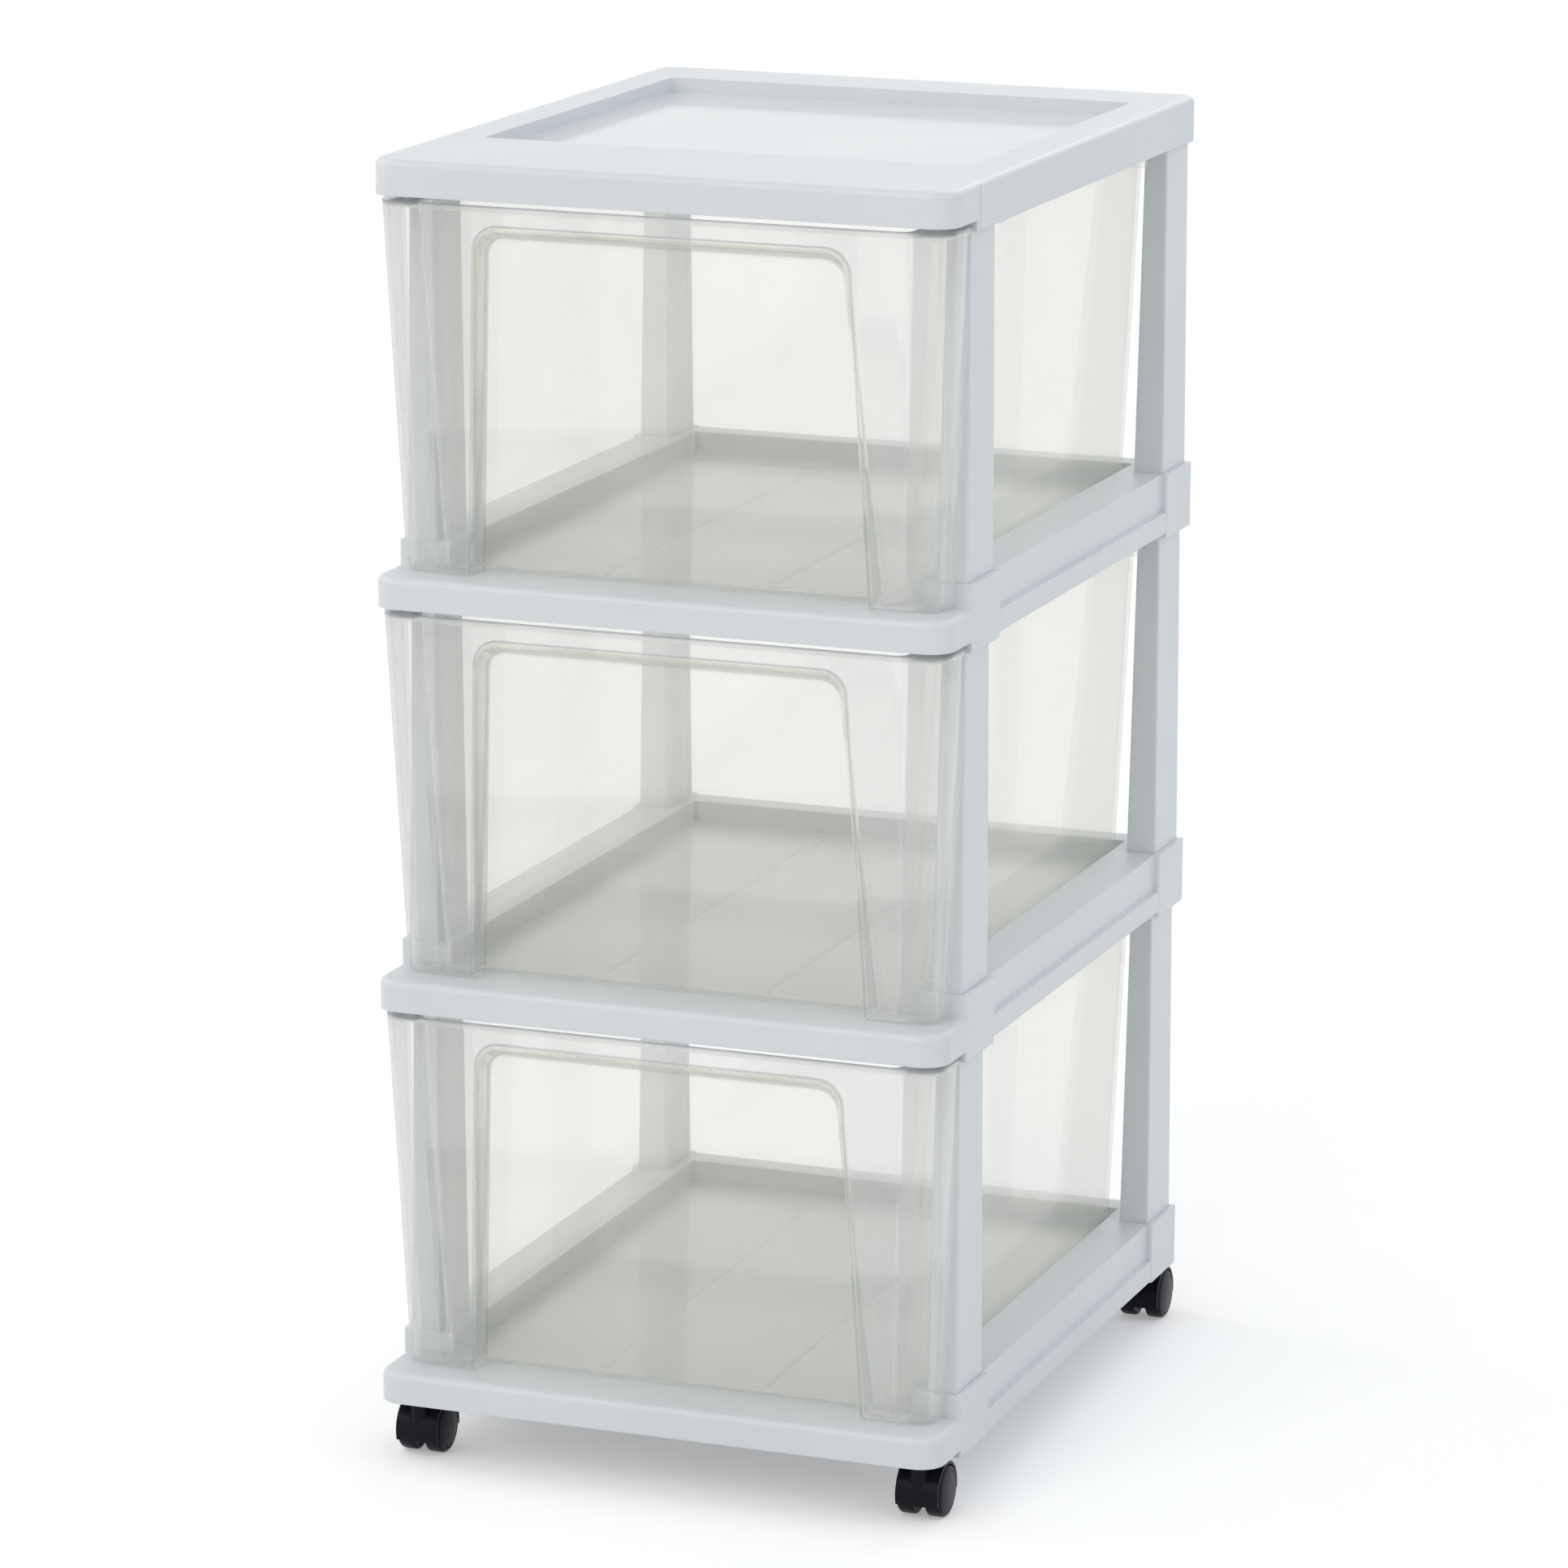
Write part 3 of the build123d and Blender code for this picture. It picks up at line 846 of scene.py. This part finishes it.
@dataclass
class Studio:
    """The pale floor, the soft lights, the white surround and the camera."""

    floor_size: float = 40.0
    floor_tone: Colour = (0.93, 0.93, 0.93, 1)
    floor_fibre: Colour = (0.92, 0.92, 0.92, 1)
    floor_lift: float = 0.29
    floor_near: float = 0.36
    floor_far: float = 0.85
    sky: Colour = (0.97, 0.985, 1.0, 1)
    sky_light: float = 0.50
    softboxes: Tuple[Tuple[str, Point, float, Point], ...] = (
        ("front", (-0.5, -2.6, 2.2), 26.0, (1.0, 0.99, 0.97)),
        ("left", (-2.6, 0.0, 2.2), 18.0, (1.0, 1.0, 1.0)),
        ("right", (2.6, 0.0, 2.2), 15.5, (0.80, 0.88, 1.0)),
        ("rear", (0.3, 2.6, 2.4), 16.0, (1.0, 1.0, 1.0)),
    )
    softbox_size: float = 2.0
    softbox_aim: Point = (0.0, 0.0, 0.33)
    target: Point = (-0.00542, -0.00163, 0.31976)
    distance: float = 3.47769
    azimuth: float = 20.4046
    elevation: float = 13.1451
    roll: float = 0.0074981
    lens: float = 156.836
    sensor: float = 36.0
    clear_layers: int = 32

    @staticmethod
    def seen(nodes: Nodes) -> Value:
        """Rays of the eye, of gloss and of glass.

        Args:
            nodes: The node tree that asks.

        Returns:
            1 for such a ray, otherwise 0.
        """
        rays = nodes.node("ShaderNodeLightPath").outputs
        eye, gloss, glass = (
            Value(nodes, rays[kind]) for kind in ("Is Camera Ray", "Is Glossy Ray", "Is Transmission Ray")
        )
        return eye.most(gloss).most(glass)

    def floor(self) -> None:
        """Lays the floor, which keeps the cart's shadow."""
        Bench.clear()
        bpy.ops.mesh.primitive_plane_add(size=self.floor_size)
        floor = bpy.context.object
        floor.name = "studio_floor"
        material = bpy.data.materials.new("studio_floor_paper")
        nodes = Nodes(material)
        fibres = nodes.noise(40.0, 2.0)
        paper = nodes.node(
            "ShaderNodeBsdfPrincipled",
            None,
            {
                "Base Color": nodes.blend(fibres, self.floor_tone, self.floor_fibre),
                "Roughness": 0.9,
                "Specular IOR Level": 0.1,
            },
        )
        seen = self.seen(nodes)
        lift = nodes.node("ShaderNodeEmission", None, {"Strength": seen * self.floor_lift})
        lit = nodes.node("ShaderNodeAddShader", None, {0: paper.outputs[0], 1: lift.outputs[0]})
        white = nodes.node("ShaderNodeEmission", None, {"Strength": 1.0})
        x, y, _ = nodes.axes()
        away = (x * x + y * y).rise(self.floor_near**2, self.floor_far**2)
        mixed = nodes.node(
            "ShaderNodeMixShader", None, {0: away * seen, 1: lit.outputs[0], 2: white.outputs[0]}
        )
        nodes.node("ShaderNodeOutputMaterial", None, {"Surface": mixed.outputs[0]})
        Bench.dress(floor, material)

    def surround(self) -> None:
        """Lights the scene evenly, and shows white to the eye and in gloss."""
        world = bpy.data.worlds.new("studio_surround")
        bpy.context.scene.world = world
        nodes = Nodes(world)
        seen = self.seen(nodes)
        light = nodes.node("ShaderNodeBackground", None, {"Color": self.sky, "Strength": self.sky_light})
        white = nodes.node("ShaderNodeBackground", None, {"Color": (1, 1, 1, 1), "Strength": 1.0})
        mixed = nodes.node(
            "ShaderNodeMixShader", None, {0: seen, 1: light.outputs[0], 2: white.outputs[0]}
        )
        nodes.node("ShaderNodeOutputWorld", None, {"Surface": mixed.outputs[0]})

    @staticmethod
    def lamp(name: str, place: Point, aim: Point, size: float, power: float, colour: Point) -> None:
        """Hangs one soft lamp.

        Args:
            name: The lamp's name.
            place: Where it hangs.
            aim: What it points at.
            size: The side of its square face.
            power: Its power in watts.
            colour: Its colour.
        """
        data = bpy.data.lights.new(name, "AREA")
        data.size = size
        data.energy = power
        data.color = colour
        lamp = bpy.data.objects.new(name, data)
        lamp.location = place
        lamp.rotation_euler = (Vector(aim) - Vector(place)).to_track_quat("-Z", "Y").to_euler()
        bpy.context.scene.collection.objects.link(lamp)

    def lights(self) -> None:
        """Hangs the softboxes round the cart, so that light falls into the drawers from every side."""
        for name, place, power, colour in self.softboxes:
            self.lamp(f"{name}_softbox", place, self.softbox_aim, self.softbox_size, power, colour)

    def camera(self) -> None:
        """Places the camera at the photograph's angle."""
        yaw, pitch = math.radians(self.azimuth), math.radians(self.elevation)
        back = Vector(
            (math.sin(yaw) * math.cos(pitch), -math.cos(yaw) * math.cos(pitch), math.sin(pitch))
        )
        right = Vector((math.cos(yaw), math.sin(yaw), 0))
        up = back.cross(right)
        across = right * math.cos(self.roll) + up * math.sin(self.roll)
        rise = up * math.cos(self.roll) - right * math.sin(self.roll)
        data = bpy.data.cameras.new("photo_camera")
        data.sensor_width = self.sensor
        data.lens = self.lens
        camera = bpy.data.objects.new("photo_camera", data)
        turn = Matrix((across, rise, back)).transposed().to_4x4()
        camera.matrix_world = Matrix.Translation(Vector(self.target) + back * self.distance) @ turn
        bpy.context.scene.collection.objects.link(camera)
        bpy.context.scene.camera = camera

    def build(self) -> None:
        """Sets up the whole studio."""
        self.floor()
        self.surround()
        self.lights()
        self.camera()
        scene = bpy.context.scene
        scene.view_settings.view_transform = "Standard"
        scene.cycles.transparent_max_bounces = self.clear_layers
        LOG.info("set up the studio")


def sweep_startup() -> None:
    """Removes what Blender's startup file holds, so that only the cart is measured."""
    kept = set(frame["nodes"].values()) | set(frame["bodies"].values())
    for thing in list(bpy.data.objects):
        if thing not in kept:
            bpy.data.objects.remove(thing)


def main() -> None:
    """Builds the cart's looks in order."""
    logging.basicConfig(level=logging.INFO, format="%(message)s")
    sweep_startup()
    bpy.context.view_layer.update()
    FrameMouldings().dress()
    for tier in DRAWER_FEET:
        Drawer(tier).dress()
    pattern = CasterWheel().build()
    black, steel = BLACK.make(), STEEL.make()
    for end in End:
        for side in Side:
            Caster(end, side).build(pattern, black, steel)
    bpy.data.objects.remove(pattern)
    Studio().build()


if __name__ == "__main__":
    main()
